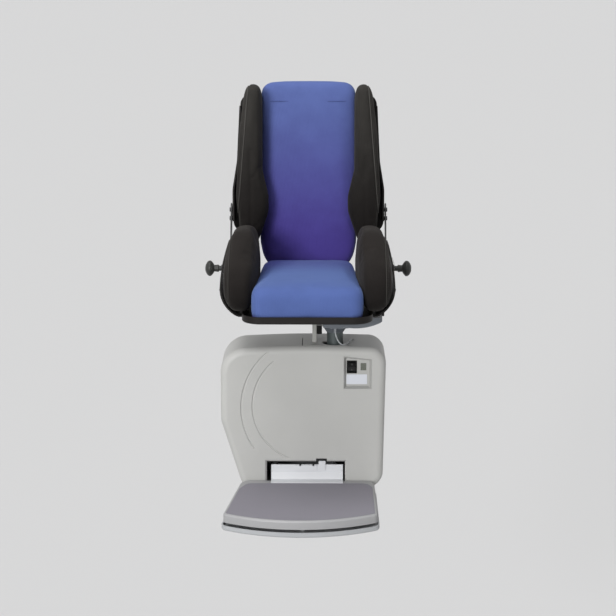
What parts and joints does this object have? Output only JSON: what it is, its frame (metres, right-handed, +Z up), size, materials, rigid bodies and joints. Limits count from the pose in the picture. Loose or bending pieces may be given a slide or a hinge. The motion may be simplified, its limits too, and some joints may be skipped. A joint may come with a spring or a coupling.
{
  "type": "stairlift chair",
  "caption": "Stairlift chair: rail carriage with moulded cover, fold-up footrest and swivel seat with padded hip supports, side wings and a reclining back.",
  "frame": {"origin": "axis of the upper rail tube at the middle of the carriage", "axes": "+X along a level rail, to the right as seen from the front; +Y towards the rail and the wall; +Z up"},
  "size_m": [0.474, 0.5125, 0.9358],
  "materials": {
    "cover": "fine-textured moulding",
    "grey_plastic": "satin",
    "light_shell": "satin",
    "white_plastic": "satin",
    "dark_plastic": "satin",
    "black_gloss": "smooth",
    "charcoal": "satin",
    "chassis_steel": "powder coated",
    "post_paint": "powder coated",
    "casting": "painted casting",
    "dark_paint": "powder coated",
    "zinc_steel": "zinc plated",
    "bare_steel": "machined",
    "chrome_steel": "polished",
    "bronze": "machined",
    "roller": "polyurethane tread",
    "mat": "fine ribbed",
    "cable": "satin",
    "battery_case": "moulded",
    "blue_fabric": "stretch knit",
    "black_fabric": "spacer mesh",
    "label": "bare plate",
    "display": "tinted"
  },
  "bodies": {
    "carriage": {"front_cover": "cover", "top_insert": "cover", "chassis_plate": "chassis_steel", "chassis_fasteners": "zinc_steel", "post_clamp": "casting", "seat_post": "post_paint", "post_race": "casting", "cable_duct": "grey_plastic", "seat_switch": "black_gloss", "seat_cable": "cable", "battery_pair": "battery_case", "battery_tray": "chassis_steel", "gearbox_housing": "casting", "motor_can": "dark_paint", "brake_unit": "dark_paint", "controller_box": "dark_plastic", "bearings": "bronze", "charge_contacts": "bronze", "console_panel": "grey_plastic", "switch_frame": "black_gloss", "display_window": "display", "label_plate": "label", "footrest_bracket": "chassis_steel", "footrest_pin": "chrome_steel"},
    "power_rocker": {"rocker_button": "black_gloss"},
    "drive": {"drive_pinion": "bare_steel", "worm_wheel": "bronze"},
    "upper_trolley": {"upper_trolley": "chassis_steel"},
    "upper_roller_left": {"upper_roller_left": "roller"},
    "upper_roller_right": {"upper_roller_right": "roller"},
    "under_roller_left": {"under_roller_left": "roller"},
    "under_roller_right": {"under_roller_right": "roller"},
    "lower_trolley": {"lower_trolley": "chassis_steel"},
    "guide_roller_left": {"guide_roller_left": "roller"},
    "guide_roller_right": {"guide_roller_right": "roller"},
    "footrest": {"footrest_frame": "chassis_steel", "footrest_shell": "light_shell", "footrest_mat": "mat", "hinge_cover": "white_plastic"},
    "safety_tray": {"safety_tray": "light_shell", "tray_springs": "zinc_steel"},
    "seat": {"swivel_head": "casting", "seat_subframe": "dark_paint", "seat_tray": "dark_plastic", "seat_cushion": "blue_fabric", "hip_pad_left": "black_fabric", "hip_pad_right": "black_fabric", "hip_shell_left": "dark_plastic", "hip_shell_right": "dark_plastic", "recline_discs": "dark_plastic", "clamp_washers": "chrome_steel"},
    "swivel_lever": {"swivel_lever": "zinc_steel", "lever_grip": "dark_plastic"},
    "knob_left": {"knob_left": "charcoal"},
    "knob_right": {"knob_right": "charcoal"},
    "backrest": {"back_shell": "dark_plastic", "back_cushion": "blue_fabric", "wing_pad_left": "black_fabric", "wing_pad_right": "black_fabric", "side_arms": "dark_paint"}
  },
  "joints": [
    {"name": "power_rocker_tilt", "type": "hinge", "parent": "carriage", "child": "power_rocker", "pos_m": [0.1094, -0.187, 0.0615], "axis": [1, 0, 0], "range_deg": [-6, 6]},
    {"name": "drive_turn", "type": "hinge", "parent": "carriage", "child": "drive", "pos_m": [0, -0.1, -0.052], "axis": [0, 1, 0], "continuous": true},
    {"name": "upper_trolley_tilt", "type": "hinge", "parent": "carriage", "child": "upper_trolley", "pos_m": [0, -0.07, -0.052], "axis": [0, 1, 0], "range_deg": [-45, 45]},
    {"name": "lower_trolley_tilt", "type": "hinge", "parent": "carriage", "child": "lower_trolley", "pos_m": [0, -0.06, -0.17], "axis": [0, 1, 0], "range_deg": [-45, 45]},
    {"name": "upper_roller_left_turn", "type": "hinge", "parent": "upper_trolley", "child": "upper_roller_left", "pos_m": [-0.045, 0, 0.0393], "axis": [0, 1, 0], "continuous": true},
    {"name": "upper_roller_right_turn", "type": "hinge", "parent": "upper_trolley", "child": "upper_roller_right", "pos_m": [0.045, 0, 0.0393], "axis": [0, 1, 0], "continuous": true},
    {"name": "under_roller_left_turn", "type": "hinge", "parent": "upper_trolley", "child": "under_roller_left", "pos_m": [-0.045, 0, -0.0393], "axis": [0, 1, 0], "continuous": true},
    {"name": "under_roller_right_turn", "type": "hinge", "parent": "upper_trolley", "child": "under_roller_right", "pos_m": [0.045, 0, -0.0393], "axis": [0, 1, 0], "continuous": true},
    {"name": "guide_roller_left_turn", "type": "hinge", "parent": "lower_trolley", "child": "guide_roller_left", "pos_m": [-0.032, -0.0343, -0.17], "axis": [0, 0, 1], "continuous": true},
    {"name": "guide_roller_right_turn", "type": "hinge", "parent": "lower_trolley", "child": "guide_roller_right", "pos_m": [0.032, -0.0343, -0.17], "axis": [0, 0, 1], "continuous": true},
    {"name": "footrest_fold", "type": "hinge", "parent": "carriage", "child": "footrest", "pos_m": [0.002, -0.181, -0.182], "axis": [-1, 0, 0], "range_deg": [0, 88]},
    {"name": "safety_tray_lift", "type": "slide", "parent": "footrest", "child": "safety_tray", "axis": [0, 0, 1], "range_m": [0, 0.0025], "stiffness_N_per_m": 6000, "springref_m": -0.002, "deforming": ["tray_springs"]},
    {"name": "seat_swivel", "type": "hinge", "parent": "carriage", "child": "seat", "pos_m": [0.071, -0.156, 0.146], "axis": [0, 0, 1], "range_deg": [0, 90]},
    {"name": "swivel_lever_lift", "type": "hinge", "parent": "seat", "child": "swivel_lever", "pos_m": [0.131, -0.156, 0.1772], "axis": [0, -1, 0], "range_deg": [0, 12], "stiffness_Nm_per_rad": 0.6, "springref_deg": -9.74},
    {"name": "backrest_recline", "type": "hinge", "parent": "seat", "child": "backrest", "pos_m": [0.0095, -0.1, 0.272], "axis": [-1, 0, 0], "range_deg": [-5, 25]},
    {"name": "knob_left_turn", "type": "hinge", "parent": "seat", "child": "knob_left", "pos_m": [-0.2, -0.1, 0.272], "axis": [1, 0, 0], "continuous": true},
    {"name": "knob_right_turn", "type": "hinge", "parent": "seat", "child": "knob_right", "pos_m": [0.22, -0.1, 0.272], "axis": [1, 0, 0], "continuous": true}
  ],
  "couplings": [
    {"joint": "lower_trolley_tilt", "follows": "upper_trolley_tilt", "ratio": 1}
  ]
}
